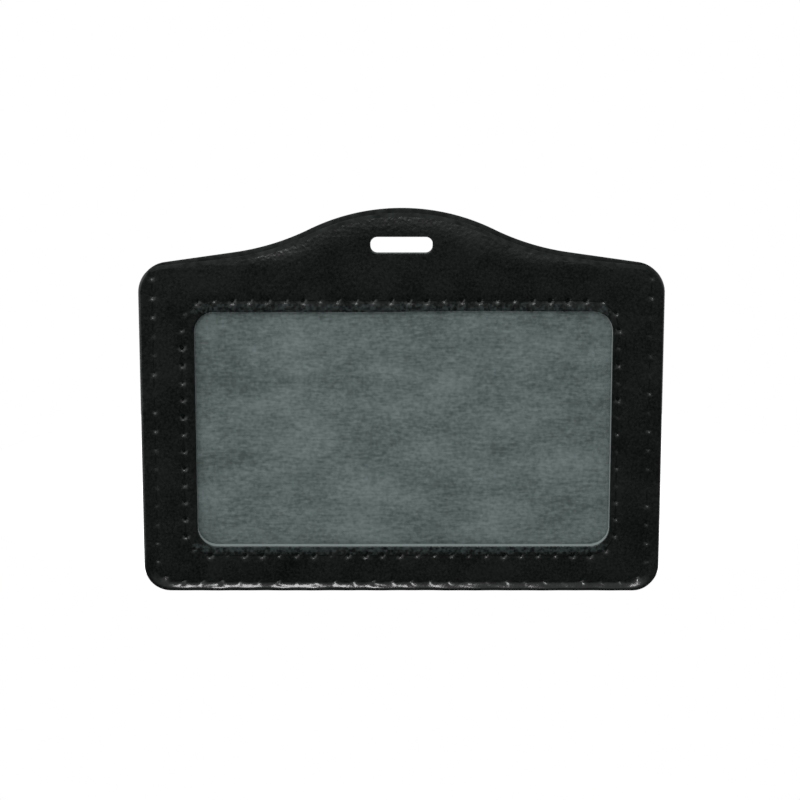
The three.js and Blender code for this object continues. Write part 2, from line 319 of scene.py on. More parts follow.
def beyond(points, rectangle, radius):
    """How far points lie outside a rectangle with round corners, negative inside it."""
    left, bottom, right, top = rectangle
    middle = np.array(((left + right) / 2, (bottom + top) / 2))
    half = np.array(((right - left) / 2, (top - bottom) / 2))
    past = np.abs(points - middle) - half + radius
    return np.hypot(*np.maximum(past, 0).T) + np.minimum(past.max(axis=1), 0) - radius


def find_places(sizes):
    """Places of the holder's edges, seams and layers, from the frame's boxes and the sizes."""
    low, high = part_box("back_panel")
    edge_low, edge_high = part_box("edge_needle_thread")
    pane_low, pane_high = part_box("window_needle_thread")
    film_low, film_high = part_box("window_film")
    half_thread = sizes.frame_thread / 2
    half_slot = (sizes.slot_width / 2, sizes.slot_height / 2)
    left, bottom = pane_low.x + half_thread, pane_low.z + half_thread
    right, top = pane_high.x - half_thread, pane_high.z - half_thread
    edge_half = edge_high.x - half_thread
    sill = edge_low.z + half_thread
    pocket_half = edge_half - sizes.hem_past_seam
    far_up = high.z + high.x
    return SimpleNamespace(
        half=high.x,
        bottom=low.z,
        top=high.z,
        face=high.y,
        flex=(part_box("front_panel")[1].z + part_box("front_lip")[0].z) / 2,
        film=(film_low.x, film_low.z, film_high.x, film_high.z),
        film_face=-film_low.y,
        film_back=-film_high.y,
        window_seam=(left, bottom, right, top),
        window=(
            left + sizes.seam_left,
            bottom + sizes.seam_below,
            right - sizes.seam_right,
            top - sizes.seam_above,
        ),
        slot=(-half_slot[0], -half_slot[1], *half_slot),
        edge_seam=(-edge_half, sill, edge_half, far_up),
        edge_end=edge_high.z,
        pocket=(-pocket_half, sill + sizes.hem_past_seam, pocket_half, far_up),
    )


def measured():
    """The holder's sizes, and the places that follow from them."""
    sizes = bpy.context.scene.holder_sizes
    return sizes, find_places(sizes)


def holder_outline(sizes, place):
    """The holder's outline, anticlockwise from the bottom right. Straight lines join its arcs."""
    above = math.pi / 2
    below = 1.5 * math.pi
    fall = sizes.shoulder_slope
    climb = sizes.hump_slope
    reach = sizes.hump_top_radius + sizes.hump_foot_radius
    hump_z = place.top - sizes.hump_top_radius
    foot_x = reach * math.sin(climb)
    foot_z = hump_z + reach * math.cos(climb)
    start_x = foot_x - sizes.hump_foot_radius * math.sin(fall)
    start_z = foot_z - sizes.hump_foot_radius * math.cos(fall)
    corner_z = start_z - (place.half - start_x) * math.tan(fall)
    shoulder_x = place.half - sizes.shoulder_radius
    shoulder_z = corner_z - sizes.shoulder_radius * (1 - math.sin(fall)) / math.cos(fall)
    corner_x = place.half - sizes.bottom_radius
    rise_z = place.bottom + sizes.bottom_radius
    turns = (
        arc((corner_x, rise_z), sizes.bottom_radius, -above, 0),
        arc((shoulder_x, shoulder_z), sizes.shoulder_radius, 0, above - fall),
        arc((foot_x, foot_z), sizes.hump_foot_radius, below - fall, below - climb),
        arc((0, hump_z), sizes.hump_top_radius, above - climb, above + climb),
        arc((-foot_x, foot_z), sizes.hump_foot_radius, below + climb, below + fall),
        arc((-shoulder_x, shoulder_z), sizes.shoulder_radius, above + fall, math.pi),
        arc((-corner_x, rise_z), sizes.bottom_radius, math.pi, below),
    )
    return np.concatenate(turns)


def edge_seam_path(sizes, place):
    """The seam from the left end of the mouth down, along the bottom and up to the right end."""
    left, sill, right, _ = place.edge_seam
    radius = sizes.edge_seam_radius
    parts = (
        ((left, place.edge_end),),
        arc((left + radius, sill + radius), radius, math.pi, 1.5 * math.pi),
        arc((right - radius, sill + radius), radius, -math.pi / 2, 0),
        ((right, place.edge_end),),
    )
    return np.concatenate(parts)


def window_seam_path(sizes, place):
    """The closed seam round the window."""
    return rounded_rectangle(place.window_seam, sizes.window_seam_radius)


# Soft forms, as values between 0 and 1 or as depths


def ease(low, high, values):
    """Smoothly from 0 at low to 1 at high."""
    share = np.clip((values - low) / (high - low), 0, 1)
    return share * share * (3 - 2 * share)


def nearness(distance, reach):
    """1 at no distance, falling evenly to 0 at the reach."""
    return 1 - np.clip(distance / reach, 0, 1)


def rounding(distance, radius):
    """How far a rounded edge falls away at a distance from it."""
    return radius * (1 - np.sqrt(1 - nearness(distance, radius) ** 2))


def hollow(distance, width):
    """1 at no distance, mostly gone at the width."""
    return np.exp(-((distance / width) ** 2))


def ripples(points):
    """Slow unevenness of a soft sheet, between about -1 and 1."""
    x, z = points.T / MM
    short = np.sin(x / RIPPLE_X + RIPPLE_BEND * np.sin(z / BEND_Z)) * np.cos(z / RIPPLE_Z + RIPPLE_PHASE)
    long = SWELL_SHARE * np.sin(x / SWELL_X - z / SWELL_Z + SWELL_PHASE)
    return (short + long) / (1 + SWELL_SHARE)


def near_sill(sizes, place, z):
    """1 along the bottom edge, falling to 0 between one and two corner radii up."""
    return ease(place.bottom + 2 * sizes.bottom_radius, place.bottom + sizes.bottom_radius, z)


# Sheets: a face and a lining over the same outline


def nearest(places, points):
    """Distance from each point to the nearest of the places, and which place that is."""
    tree = KDTree(len(places))
    for index, (x, z) in enumerate(places):
        tree.insert((x, z, 0), index)
    tree.balance()
    found = [tree.find((x, z, 0)) for x, z in points]
    return np.array([place[2] for place in found]), np.array([place[1] for place in found])


def headings(path, closed=True):
    """Direction of a path at each of its points."""
    if closed:
        ahead = np.roll(path, -1, axis=0) - np.roll(path, 1, axis=0)
    else:
        ahead = np.gradient(path, axis=0)
    return ahead / np.hypot(*ahead.T)[:, None]


def turned(directions, angle):
    """Directions turned anticlockwise by an angle."""
    x, z = directions.T
    cosine, sine = math.cos(angle), math.sin(angle)
    return np.column_stack((cosine * x - sine * z, sine * x + cosine * z))


def beside(path, offset, closed=True):
    """A path moved sideways to its left by an offset."""
    return path + offset * turned(headings(path, closed), math.pi / 2)


def inside(loop, points):
    """Which points lie inside a closed loop."""
    x, z = points.T
    found = np.zeros(len(points), bool)
    for (x0, z0), (x1, z1) in zip(loop, np.roll(loop, -1, axis=0)):
        if z0 != z1:
            found ^= ((z0 > z) != (z1 > z)) & (x < x0 + (x1 - x0) * (z - z0) / (z1 - z0))
    return found


def grid_over(loop, pitch):
    """Points in staggered rows inside a closed loop."""
    low, high = loop.min(axis=0), loop.max(axis=0)
    rise = pitch * math.sqrt(3) / 2
    x, z = np.meshgrid(np.arange(low[0], high[0], pitch), np.arange(low[1], high[1], rise))
    x[1::2] += pitch / 2
    points = np.column_stack((x.ravel(), z.ravel()))
    return points[inside(loop, points)]


def settle(loops, groups):
    """Points inside the loops from groups in turn, each clear of those before it by its group's room."""
    kept = np.concatenate(loops)
    for points, room in groups:
        points = points[inside(loops[0], points)]
        for opening in loops[1:]:
            points = points[~inside(opening, points)]
        kept = np.concatenate((kept, points[nearest(kept, points)[0] > room]))
    return kept[sum(map(len, loops)) :]


def triangles_over(loops, inner):
    """Triangles over a sheet. The first loop is its outline, and the others are openings in it."""
    points = np.concatenate((*loops, inner))
    owner = np.repeat(np.arange(len(loops) + 1), [*map(len, loops), len(inner)])
    edges = []
    for index in range(len(loops)):
        ids = np.flatnonzero(owner == index)
        edges += np.column_stack((ids, np.roll(ids, -1))).tolist()
    flat = [Vector(point / MM) for point in points]
    _, _, faces, sources, _, _ = delaunay_2d_cdt(flat, edges, [], 1, SAME_POINT)
    faces = np.array([source[0] for source in sources])[np.array(faces)]
    owners = owner[faces]
    whole = (owners == owners[:, :1]).all(axis=1)
    in_opening = whole & (owners[:, 0] > 0) & (owners[:, 0] < len(loops))
    return faces[~in_opening]


def show(name, data):
    """An object in the scene."""
    shown = bpy.data.objects.new(name, data)
    bpy.context.collection.objects.link(shown)
    return shown


def mark(mesh, name, values):
    """Gives each of a mesh's points a value that nodes read by name."""
    attribute = mesh.attributes.new(name, "FLOAT", "POINT")
    attribute.data.foreach_set("value", values.astype(np.float32))


def make_sheet(name, side, loops, lining_loops, face_inner, lining_inner, levels, finishes):
    """A closed sheet whose face looks away from the pocket. Face and lining share the outline.

    levels gives both sides' distance from the pocket's middle, and finishes both sides' materials.
    Walls join the two sides round each opening, painted in the first and raw in the second.
    """
    rim = len(loops[0])
    face_points = np.concatenate((*loops, face_inner))
    lining_points = np.concatenate((*lining_loops, lining_inner))
    flat = np.concatenate((face_points, lining_points[rim:]))
    level = np.concatenate((levels(face_points, rim)[0], levels(lining_points, rim)[1][rim:]))
    past_face = len(face_points) - rim

    def on_lining(ids):
        return np.where(ids < rim, ids, ids + past_face)

    face = triangles_over(loops, face_inner)
    lining = triangles_over(lining_loops, lining_inner)
    face_finish = finishes(face_points[face].mean(axis=1))[0]
    lining_finish = finishes(lining_points[lining].mean(axis=1))[1]
    lining = on_lining(lining)[:, ::-1]
    walls = []
    wall_finish = []
    creases = set()
    start = rim
    for finish, opening in zip((PAINT, CUT), loops[1:]):
        near = start + np.arange(len(opening))
        far = np.roll(near, -1)
        walls += np.column_stack((near, far, on_lining(far), on_lining(near))).tolist()
        for ends in ((near, far), (on_lining(near), on_lining(far))):
            creases.update(tuple(sorted(pair)) for pair in np.column_stack(ends).tolist())
        wall_finish += [finish] * len(opening)
        start += len(opening)
    faces = [*face.tolist(), *lining.tolist(), *walls]
    if side == BACK:
        faces = [corners[::-1] for corners in faces]
    mesh = bpy.data.meshes.new(name)
    mesh.from_pydata(np.column_stack((flat[:, 0], side * level, flat[:, 1])).tolist(), [], faces)
    finish = np.concatenate((face_finish, lining_finish, wall_finish)).astype(np.int32)
    mesh.polygons.foreach_set("material_index", finish)
    mesh.polygons.foreach_set("use_smooth", [True] * len(faces))
    for edge in mesh.edges:
        edge.use_edge_sharp = tuple(sorted(edge.vertices)) in creases
    mesh.validate()
    return show(name, mesh)


def cover_loops(sizes, place, windowed):
    """Close points along a cover's edge and window, and the loops of its face and of its lining."""
    edge = evenly(holder_outline(sizes, place), PATH_STEP)
    if windowed:
        trim = sizes.lip_trim * ease(place.flex, place.slot[1], edge[:, 1])
        edge = beside(edge, trim[:, None])
    slot = evenly(rounded_rectangle(place.slot, sizes.slot_radius), EDGE_STEP)
    loops = [evenly(edge, EDGE_STEP), slot]
    if not windowed:
        return edge, None, loops, loops
    opening = evenly(rounded_rectangle(place.window, sizes.window_radius), PATH_STEP)
    at_top = np.maximum(-turned(headings(opening), math.pi / 2)[:, 1], 0)
    opening = beside(opening, (sizes.window_wave * at_top * ripples(opening))[:, None])
    window = evenly(opening, EDGE_STEP)
    inward_x, inward_z = turned(headings(window), math.pi / 2).T
    slant = np.hypot(np.maximum(-inward_x, 0) / RIGHT_SLANT, np.maximum(inward_z, 0))
    bared = beside(window, (sizes.cut_slant * slant)[:, None])
    return edge, opening, [*loops, window], [*loops, bared]


def needle_holes(sizes, place, windowed):
    """A cover's needle holes, the direction of the slit in each, their depths, and rows along the seams."""
    seams = [(edge_seam_path(sizes, place), sizes.edge_stitch, False, sizes.edge_pull)]
    if windowed:
        seams.append((window_seam_path(sizes, place), sizes.window_stitch, True, 1))
    rng = np.random.default_rng(bpy.context.scene.holder_stage.wave_seed)
    holes, slits, pulls, rows = [], [], [], []
    for path, stitch, closed, pull in seams:
        needle = evenly(path, stitch, closed)
        holes.append(needle)
        slits.append(turned(headings(needle, closed), sizes.slit_slant))
        by_side = np.where(closed & (needle[:, 0] > place.window[2]), sizes.right_pull, 1)
        pulls.append(pull * by_side * (1 + sizes.hole_spread * rng.uniform(-1, 1, len(needle))))
        row = evenly(path, ROW_STEP, closed)
        rows += [beside(row, offset, closed) for offset in ROW_OFFSETS]
    return [np.concatenate(parts) for parts in (holes, slits, pulls, rows)]


def make_cover(name, side, windowed):
    """A leathercloth cover with its margin turned in along the edge seam. The windowed one has the lip."""
    sizes, place = measured()
    close_edge, close_window, loops, lining_loops = cover_loops(sizes, place, windowed)
    holes, slits, pulls, rows = needle_holes(sizes, place, windowed)

    def levels(points, rim):
        z = points[:, 1]
        edge = nearest(close_edge, points)[0]
        edge[:rim] = 0
        sewn = ease(place.flex + sizes.layer_gap, place.flex - MOUTH_RUN * sizes.leather, z)
        in_hem = ease(-sizes.layer_gap, sizes.layer_gap, beyond(points, place.pocket, sizes.pocket_radius))
        thickness = sizes.leather + sewn * in_hem * (sizes.leather + sizes.layer_gap)
        fold = rounding(edge, thickness / 2)
        from_seam = beyond(points, place.edge_seam, sizes.edge_seam_radius)
        to_end = np.hypot(np.abs(points[:, 0]) - place.edge_seam[2], z - place.edge_end)
        seam = np.where(z > place.edge_end, to_end, np.abs(from_seam))
        drawn = sizes.groove * hollow(seam, sizes.groove_width)
        outside = sewn * (from_seam > 0) * seam / np.maximum(edge + seam, TINY)
        bead = sizes.bead * (sizes.side_bead + (1 - sizes.side_bead) * near_sill(sizes, place, z))
        bead *= 1 + sizes.bead_spread * ripples(BEAD_WAVES * points)
        swell = bead * ease(*BEAD_RISE, outside) * ease(0, sizes.leather / BEAD_FOOT, edge)
        lip = ease(place.flex, place.flex + sizes.lip_roll_width, z)
        if windowed:
            sag = sizes.lip_roll * lip * nearness(edge, sizes.lip_roll_width) ** 2
            margin = nearest(close_window, points)[0]
            window_seam = beyond(points, place.window_seam, sizes.window_seam_radius)
            drawn += sizes.groove * hollow(window_seam, sizes.groove_width)
            across = margin / np.maximum(margin + np.abs(window_seam), TINY)
            swell += np.where(window_seam < 0, sizes.flare * (1 - across), 0)
            drawn += rounding(margin, sizes.cut_round)
        else:
            from_window = beyond(points, place.window, sizes.window_radius)
            sag = sizes.slack * ease(place.pocket[2] - place.window[2], 0, from_window)
            sag -= sizes.rim_curl * lip * nearness(edge, sizes.rim_curl_width) ** 2
        waves = sizes.unevenness * ripples(points) * ease(0, CALM_EDGE * sizes.leather, edge)
        middle = place.face + waves - sag
        away, hole = nearest(holes, points)
        along = ((points - holes[hole]) * slits[hole]).sum(axis=1)
        slit = (along / sizes.slit_length) ** 2 + (away**2 - along**2) / sizes.slit_width**2
        dip = sizes.dimple * hollow(away, sizes.dimple_width) + sizes.slit * np.exp(-slit)
        drawn += pulls[hole] * dip
        relief = swell - drawn * ease(0, sizes.leather, edge)
        return middle - fold + relief, middle - thickness + fold

    def finishes(points):
        edge = nearest(close_edge, points)[0]
        sewn = points[:, 1] < place.flex
        in_hem = sewn & (beyond(points, place.pocket, sizes.pocket_radius) > 0)
        face = np.where(~sewn & (edge < sizes.leather), PAINT, SKIN)
        lining = np.where(edge < sizes.edge_paint, PAINT, BACKING)
        return face, np.where(in_hem, SKIN, lining)

    outline = loops[0]
    rings = [beside(outline, offset) for offset in FOLD_RINGS]
    cuts = [beside(loop, -offset) for loop in loops[1:] for offset in CUT_RINGS]
    hem = evenly(rounded_rectangle(place.pocket, sizes.pocket_radius), HEM_STEP)
    hems = [beside(hem, offset) for offset in HEM_RINGS]
    patch = grid_over(arc((0, 0), MARK_RADIUS, 0, 2 * math.pi), MARK_GRID)
    marks = (holes[:, None] + patch).reshape(-1, 2)
    edges = (np.concatenate(rings + cuts), RING_ROOM)
    face_groups = [
        edges,
        (marks, GRID_ROOM * MARK_GRID),
        (rows, ROW_ROOM),
        (grid_over(outline, FACE_GRID), GRID_ROOM * FACE_GRID),
    ]
    lining_groups = [
        edges,
        (np.concatenate(hems), ROW_ROOM),
        (grid_over(outline, LINING_GRID), GRID_ROOM * LINING_GRID),
    ]
    face_inner = settle(loops, face_groups)
    lining_inner = settle(lining_loops, lining_groups)
    cover = make_sheet(name, side, loops, lining_loops, face_inner, lining_inner, levels, finishes)
    for finish in (leathercloth, knit_backing, edge_paint):
        cover.data.materials.append(finish())
    if windowed:
        cover.data.materials.append(cut_edge())
    mark_wear_and_sheen(cover.data, sizes, place, windowed)
    return cover


def mark_wear_and_sheen(mesh, sizes, place, windowed):
    """Marks where a cover's edge is polished, and where the windowed one is crumpled and lightened by
    painted sheen.
    """
    flat = np.array([corner.co for corner in mesh.vertices])[:, (0, 2)]
    z = flat[:, 1]
    past_seam = beyond(flat, place.edge_seam, sizes.edge_seam_radius)
    mark(mesh, "polish", near_sill(sizes, place, z) * ease(0, sizes.leather, past_seam))
    if windowed:
        _, low, _, high = place.window
        half = (high - low) / 2
        above_middle = z - (low + high) / 2
        # Only the strips above and below the window get the crumple and the painted sheen that stands in
        # for light on their slopes
        level_side = ease(half - sizes.pucker_and_sheen_width, half, np.abs(above_middle))
        level_side *= np.where(above_middle > 0, PUCKER_AND_SHEEN_ABOVE, PUCKER_AND_SHEEN_BELOW)
        from_seam = beyond(flat, place.window_seam, sizes.window_seam_radius)
        mark(mesh, "pucker_and_sheen", level_side * hollow(from_seam / sizes.pucker_and_sheen_width + PUCKER_AND_SHEEN_SHIFT, 1))


def cut_size(windowed):
    """Width, length and area of the leathercloth that a cover is cut from, its turned margins flat."""
    sizes, place = measured()
    turn = math.pi * sizes.leather
    side_margin = place.half - place.pocket[2] + turn
    sill_margin = place.pocket[1] - place.bottom + turn
    x, z = holder_outline(sizes, place).T
    area = abs(np.dot(x, np.roll(z, -1)) - np.dot(z, np.roll(x, -1))) / 2
    area += 2 * side_margin * (place.flex - place.bottom) + sill_margin * 2 * place.half
    area -= sizes.slot_width * sizes.slot_height
    if windowed:
        left, bottom, right, top = place.window
        area -= (right - left) * (top - bottom)
    return (2 * (place.half + side_margin), place.top - place.bottom + sill_margin), area


# Nodes


def in_use(sockets):
    """The sockets that a node's settings leave in use."""
    return [socket for socket in sockets if socket.enabled]


def plug(tree, node, values):
    """Feeds a node's sockets, in order or by name, with plain values, other nodes or their outputs."""
    sockets = in_use(node.inputs)
    if isinstance(values, dict):
        by_name = {socket.name: socket for socket in sockets}
        sockets = [by_name[name] for name in values]
        values = values.values()
    for socket, value in zip(sockets, values):
        if isinstance(value, Node):
            value = in_use(value.outputs)[0]
        if isinstance(value, NodeSocket):
            tree.links.new(value, socket)
        else:
            socket.default_value = value


def add(tree, kind, values=(), stops=(), **settings):
    """Adds a node with its settings, the places and colours of its stops, and what feeds its sockets."""
    node = tree.nodes.new(kind)
    for name, value in settings.items():
        setattr(node, name, value)
    for index, (position, shade) in enumerate(stops):
        node.color_ramp.elements[index].position = position
        node.color_ramp.elements[index].color = (*shade, 1)
    plug(tree, node, values)
    return node


NOISE = "ShaderNodeTexNoise"
MATH = "ShaderNodeMath"
VECTOR_MATH = "ShaderNodeVectorMath"
RANGE = "ShaderNodeMapRange"
RAMP = "ShaderNodeValToRGB"
MAPPING = "ShaderNodeMapping"
ATTRIBUTE = "ShaderNodeAttribute"
NAMED = "GeometryNodeInputNamedAttribute"
MIX = "ShaderNodeMix"
BUMP = "ShaderNodeBump"


# Seams: one stitch mesh, laid along each row of needle holes by Geometry Nodes


def make_stitch(length, thread):
    """One stitch of two-ply thread along X. Its ends dip into the needle holes."""
    half = thread / 2
    along = np.sin(np.linspace(-math.pi / 2, math.pi / 2, STITCH_RINGS))
    rise = half - (half + STITCH_DIP * thread) * np.abs(along) ** STITCH_FLATNESS
    middle = np.column_stack((along * length / 2, rise))
    ahead = headings(middle, closed=False)
    angles = np.arange(STITCH_SIDES) * 2 * math.pi / STITCH_SIDES
    twist = np.cos(2 * (angles[None, :] - along[:, None] * PLY_TURNS * math.pi))
    vertices = []
    for (x, z), (ahead_x, ahead_z), plies in zip(middle, ahead, twist):
        radius = half * (1 + PLY_DEPTH * plies)
        up = radius * np.sin(angles)
        vertices += np.column_stack((x - up * ahead_z, radius * np.cos(angles), z + up * ahead_x)).tolist()
    faces = []
    for ring in range(STITCH_RINGS - 1):
        for side in range(STITCH_SIDES):
            near = ring * STITCH_SIDES + side
            next_to = ring * STITCH_SIDES + (side + 1) % STITCH_SIDES
            faces.append((near, next_to, next_to + STITCH_SIDES, near + STITCH_SIDES))
    last = (STITCH_RINGS - 1) * STITCH_SIDES
    faces.append(tuple(range(STITCH_SIDES))[::-1])
    faces.append(tuple(range(last, last + STITCH_SIDES)))
    mesh = bpy.data.meshes.new("stitch")
    mesh.from_pydata(vertices, [], faces)
    mesh.polygons.foreach_set("use_smooth", [True] * len(faces))
    mark(mesh, "ply", twist.ravel() / 2 + 1 / 2)
    return bpy.data.objects.new("stitch", mesh)


def seam_row_nodes():
    """The node tree that lays stitches along a row. Its points carry their direction and their length."""
    tree = bpy.data.node_groups.new("Seam row", "GeometryNodeTree")
    sockets = (
        ("Row", "INPUT", "NodeSocketGeometry"),
        ("Stitch", "INPUT", "NodeSocketObject"),
        ("Outward", "INPUT", "NodeSocketVector"),
        ("Sway", "INPUT", "NodeSocketFloat"),
        ("Seed", "INPUT", "NodeSocketInt"),
        ("Thread", "INPUT", "NodeSocketMaterial"),
        ("Seam", "OUTPUT", "NodeSocketGeometry"),
    )
    for name, direction, kind in sockets:
        tree.interface.new_socket(name, in_out=direction, socket_type=kind)
    given = add(tree, "NodeGroupInput").outputs
    along = add(tree, NAMED, {"Name": "along"}, data_type="FLOAT_VECTOR")
    reach = add(tree, NAMED, {"Name": "reach"}, data_type="FLOAT")
    axes = {"Primary Axis": along, "Secondary Axis": given["Outward"]}
    turn = add(tree, "FunctionNodeAxesToRotation", axes, primary_axis="X", secondary_axis="Z")
    scale = add(tree, "ShaderNodeCombineXYZ", [reach, 1, 1])
    stitch = add(tree, "GeometryNodeObjectInfo", {"Object": given["Stitch"]}).outputs["Geometry"]
    laying = {"Points": given["Row"], "Instance": stitch, "Rotation": turn, "Scale": scale}
    laid = add(tree, "GeometryNodeInstanceOnPoints", laying)
    against = add(tree, MATH, [given["Sway"], -1], operation="MULTIPLY")
    swaying = {"Min": against, "Max": given["Sway"], "Seed": given["Seed"]}
    sway = add(tree, "FunctionNodeRandomValue", swaying, data_type="FLOAT")
    yaw = add(tree, "ShaderNodeCombineXYZ", {"Z": sway})
    swayed = add(tree, "GeometryNodeRotateInstances", {"Instances": laid, "Rotation": yaw})
    whole = add(tree, "GeometryNodeRealizeInstances", {"Geometry": swayed})
    sewn = add(tree, "GeometryNodeSetMaterial", {"Geometry": whole, "Material": given["Thread"]})
    add(tree, "NodeGroupOutput", {"Seam": sewn})
    return tree


def sew(name, tree, holes, closed, level, side, thread):
    """A row of stitches between needle holes, on a face that lies level from the pocket's middle."""
    after = np.roll(holes, -1, axis=0) if closed else holes[1:]
    before = holes if closed else holes[:-1]
    middles = (before + after) / 2
    along = after - before
    lengths = np.hypot(*along.T)
    stitch = make_stitch(lengths.max(), thread)
    row = bpy.data.meshes.new("row")
    spots = np.column_stack((middles[:, 0], np.full(len(middles), side * level), middles[:, 1]))
    row.from_pydata(spots.tolist(), [], [])
    heading = np.column_stack((along[:, 0], np.zeros(len(along)), along[:, 1])) / lengths[:, None]
    row.attributes.new("along", "FLOAT_VECTOR", "POINT").data.foreach_set("vector", heading.ravel())
    mark(row, "reach", lengths / lengths.max())
    guide = show("seam guide", row)
    modifier = guide.modifiers.new("Seam row", "NODES")
    modifier.node_group = tree
    values = {
        "Stitch": stitch,
        "Outward": (0, side, 0),
        "Sway": STITCH_SWAY,
        "Seed": bpy.context.scene.holder_stage.wave_seed,
        "Thread": sewing_thread(),
    }
    for item in tree.interface.items_tree:
        if item.in_out == "INPUT" and item.name in values:
            modifier[item.identifier] = values[item.name]
    view = bpy.context.evaluated_depsgraph_get()
    mesh = bpy.data.meshes.new_from_object(guide.evaluated_get(view), depsgraph=view)
    mesh.name = name
    bpy.data.objects.remove(guide)
    bpy.data.objects.remove(stitch)
    return show(name, mesh)


# Materials


def per_mm(millimetres):
    """The texture scale at which a pattern repeats about every so many millimetres."""
    return 1 / (millimetres * MM)


def material(name):
    """Makes a function that sets up a surface into one that gives its material, made when first needed."""

    def named(set_up):
        @wraps(set_up)
        def made():
            if name not in bpy.data.materials:
                new = bpy.data.materials.new(name)
                new.use_nodes = True
                tree = new.node_tree
                place = add(tree, "ShaderNodeTexCoord").outputs["Object"]
                set_up(tree, tree.nodes["Principled BSDF"], place, bpy.context.scene.holder_colours)
            return bpy.data.materials[name]

        return made

    return named


@material("Coated leathercloth, pressed grain")
def leathercloth(tree, surface, place, colours):
    """Coated leathercloth: black, its fine pressed grain breaking up a low sheen, glossy on a worn edge,
    with painted sheen on the crumpled strips by the window.
    """
    clouds = add(tree, NOISE, {"Vector": place, "Scale": per_mm(9), "Detail": 4})
    # The real grain is finer than this, and would not show at the size of the picture
    cells = {"Vector": place, "Scale": per_mm(0.9), "Smoothness": 0.4}
    grain = add(tree, "ShaderNodeTexVoronoi", cells, feature="SMOOTH_F1")
    pores = add(tree, NOISE, {"Vector": place, "Scale": per_mm(0.45), "Detail": 3})
    creases = add(tree, NOISE, {"Vector": place, "Scale": per_mm(0.6), "Detail": 2})
    pucker_and_sheen = add(tree, ATTRIBUTE, attribute_name="pucker_and_sheen").outputs["Fac"]
    polish = add(tree, ATTRIBUTE, attribute_name="polish").outputs["Fac"]
    crumple_and_sheen = add(tree, MATH, [pucker_and_sheen, creases], operation="MULTIPLY")
    cloud_share = 0.5
    rubbed = add(tree, MATH, [clouds, cloud_share, pores], operation="MULTIPLY_ADD")
    mottle = add(tree, RANGE, {"Value": rubbed, "From Min": 0.53, "From Max": 0.97})
    shade = add(tree, RAMP, {"Fac": mottle}, ((0, colours.skin), (1, colours.skin_worn)))
    # Painted sheen: the crumpled strips are lightened towards a paler coat, standing in for light on their
    # slopes; the same creases also raise the bump
    painted_sheen_mask = add(tree, RANGE, {"Value": crumple_and_sheen, "From Min": 0.38, "From Max": 0.68})
    painted_sheen_colour = (*colours.skin_painted_sheen, 1)
    coat = add(tree, MIX, {"Factor": painted_sheen_mask, "A": shade, "B": painted_sheen_colour}, data_type="RGBA")
    dulling = {"Value": clouds, "From Min": 0.3, "From Max": 0.7, "To Min": 0.22, "To Max": 0.3}
    dull = add(tree, RANGE, dulling)
    worn = add(tree, MIX, {"Factor": polish, "A": dull, "B": 0.16}, data_type="FLOAT")
    pressed = add(tree, RANGE, {"Value": polish, "To Min": 0.5, "To Max": 0.15})
    rough = add(tree, MATH, [grain, pores], operation="ADD")
    crease_height = 1.2
    height = add(tree, MATH, [crumple_and_sheen, crease_height, rough], operation="MULTIPLY_ADD")
    bump = add(tree, BUMP, {"Height": height, "Strength": pressed, "Distance": 0.08 * MM})
    plug(tree, surface, {"Base Color": coat, "Roughness": worn, "Normal": bump, "Specular IOR Level": 0.3})


@material("Brushed knit backing")
def knit_backing(tree, surface, place, colours):
    """Brushed knit backing: matt grey fibres combed sideways, cloudy where the nap lies differently."""
    combed = add(tree, MAPPING, {"Vector": place, "Scale": (per_mm(2.2), per_mm(2.2), per_mm(0.55))})
    streaks = add(tree, NOISE, {"Vector": combed, "Scale": 1, "Detail": 3})
    stroked = add(tree, MAPPING, {"Vector": place, "Scale": (per_mm(14), per_mm(14), per_mm(6))})
    nap = add(tree, NOISE, {"Vector": stroked, "Scale": 1, "Detail": 3})
    # The fibres are finer than this, and are drawn as tufts that show at the size of the picture
    tufts = add(tree, NOISE, {"Vector": place, "Scale": per_mm(0.7), "Detail": 3})
    nap_share = 1.2
    lie = add(tree, MATH, [nap, nap_share, streaks], operation="MULTIPLY_ADD")
    mixed = add(tree, MATH, [tufts, lie], operation="ADD")
    spread = add(tree, RANGE, {"Value": mixed, "From Min": 1.2, "From Max": 2})
    shade = add(tree, RAMP, {"Fac": spread}, ((0, colours.knit_shade), (1, colours.knit)))
    bump = add(tree, BUMP, {"Height": mixed, "Strength": 0.4, "Distance": 0.1 * MM})
    plug(tree, surface, {"Base Color": shade, "Normal": bump, "Roughness": 0.95})
    plug(tree, surface, {"Specular IOR Level": 0.15, "Sheen Weight": 0.1})


@material("Raw cut backing")
def cut_edge(tree, surface, place, colours):
    """Raw cut edge of the leathercloth: pale ends of its backing's fibres."""
    fibres = add(tree, NOISE, {"Vector": place, "Scale": per_mm(0.7), "Detail": 3})
    shade = add(tree, RAMP, {"Fac": fibres}, ((0.3, colours.knit), (0.6, colours.cut)))
    bump = add(tree, BUMP, {"Height": fibres, "Strength": 0.4, "Distance": 0.05 * MM})
    plug(tree, surface, {"Base Color": shade, "Normal": bump, "Roughness": 0.9, "Specular IOR Level": 0.15})


@material("Matt black edge paint")
def edge_paint(tree, surface, place, colours):
    """Matt black paint on the cut edges of the mouth and the slot: no sheen, so that they stay dark."""
    brushed = add(tree, NOISE, {"Vector": place, "Scale": per_mm(1.5), "Detail": 2})
    shade = add(tree, RAMP, {"Fac": brushed}, ((0.3, colours.paint), (0.7, colours.paint_worn)))
    bump = add(tree, BUMP, {"Height": brushed, "Strength": 0.3, "Distance": 0.05 * MM})
    plug(tree, surface, {"Base Color": shade, "Normal": bump, "Roughness": 0.75, "Specular IOR Level": 0.1})


